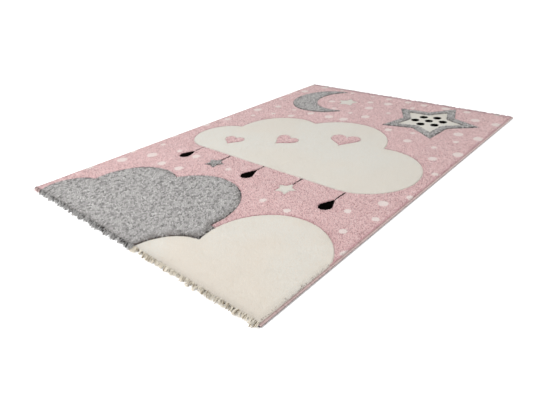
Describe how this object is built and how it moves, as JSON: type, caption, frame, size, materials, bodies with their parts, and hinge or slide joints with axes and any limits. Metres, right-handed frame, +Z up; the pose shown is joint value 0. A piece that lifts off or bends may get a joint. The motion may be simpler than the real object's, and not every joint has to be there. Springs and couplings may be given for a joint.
{
  "type": "rectangular kids pile rug",
  "caption": "Flat rectangular cut pile rug with carved cloud, moon, star, heart and drop motifs, overcast long sides and ragged pile turned over its short ends.",
  "frame": {"origin": "on the floor, under the middle of the rug and its end locks", "axes": "+Y along the rug's length, towards the end with the moon; +X across its width; +Z up out of the pile"},
  "size_m": [1.2, 1.718, 0.0147],
  "materials": {
    "pink_pile": "soft cut pile, lightly heathered",
    "cream_pile": "soft cut pile, velvety",
    "grey_pile": "taller cut pile in mixed greys",
    "black_pile": "soft cut pile",
    "overcast_yarn": "thick whipped yarn",
    "turned_pile": "ragged locks of pile",
    "woven_back": "coarse woven jute and cotton"
  },
  "bodies": {
    "root": {"rug_body": "pink_pile", "binding_left": "overcast_yarn", "binding_right": "overcast_yarn", "end_pile_near": "turned_pile", "end_pile_far": "turned_pile"}
  },
  "joints": []
}
